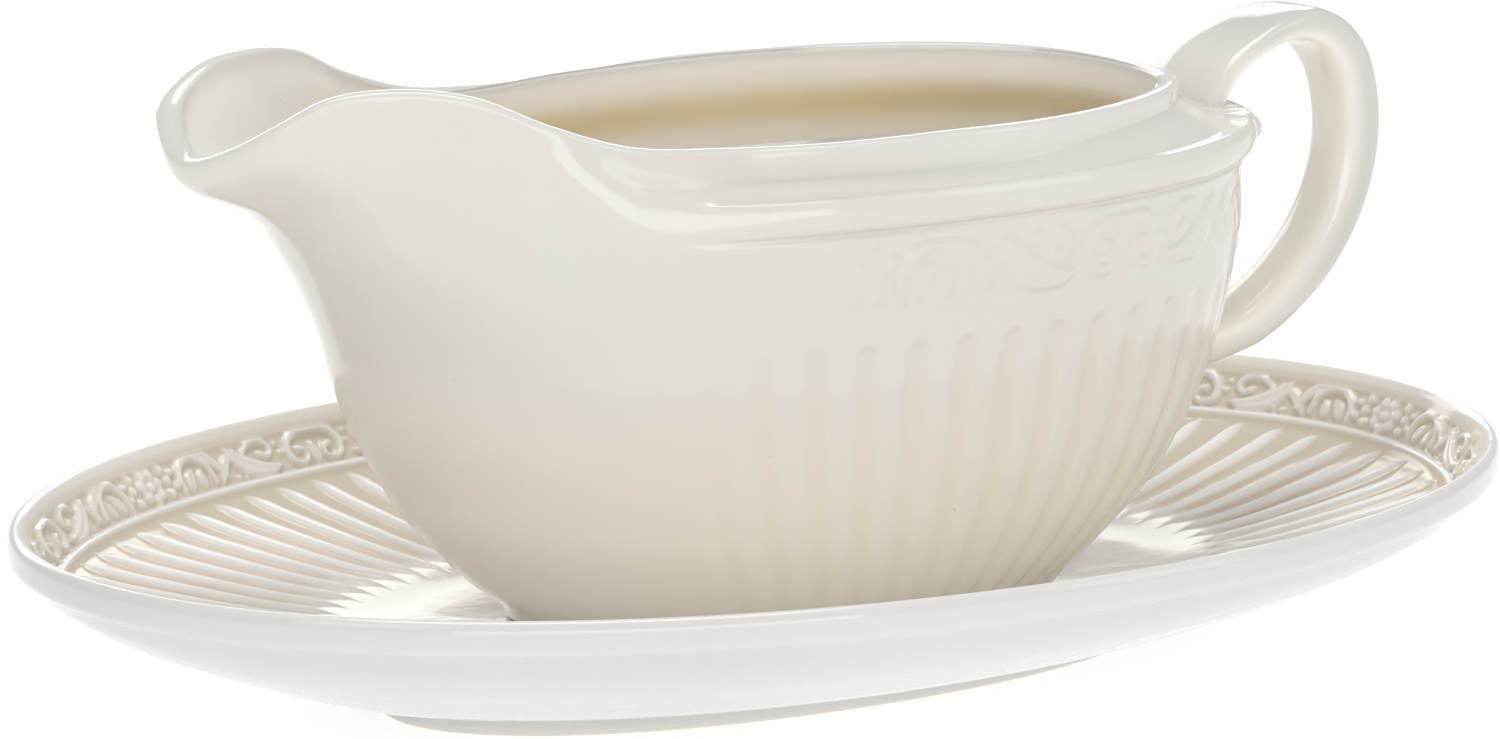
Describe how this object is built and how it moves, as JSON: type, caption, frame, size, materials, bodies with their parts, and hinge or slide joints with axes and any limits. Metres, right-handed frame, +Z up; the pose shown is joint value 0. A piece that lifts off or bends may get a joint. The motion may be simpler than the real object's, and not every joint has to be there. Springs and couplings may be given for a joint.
{
  "type": "gravy boat",
  "caption": "Oval fluted gravy boat with a flared pouring lip and an open strap handle, standing in a separate oval saucer with a relief border.",
  "frame": {"origin": "middle of the saucer's foot ring, at the height of the table it stands on", "axes": "+X along the saucer's length towards the handle, with the pouring lip at -X; +Y across; +Z up"},
  "size_m": [0.2404, 0.168, 0.0972],
  "materials": {
    "saucer_glaze": "clear gloss glaze over ivory earthenware",
    "boat_glaze": "clear gloss glaze over ivory earthenware",
    "handle_glaze": "clear gloss glaze over ivory earthenware"
  },
  "bodies": {
    "saucer": {"saucer": "saucer_glaze"},
    "boat": {"boat_body": "boat_glaze", "boat_handle": "handle_glaze"}
  },
  "joints": [
    {"name": "boat_lift", "type": "slide", "parent": "saucer", "child": "boat", "axis": [0, 0, 1], "range_m": [0, 0.12]}
  ]
}
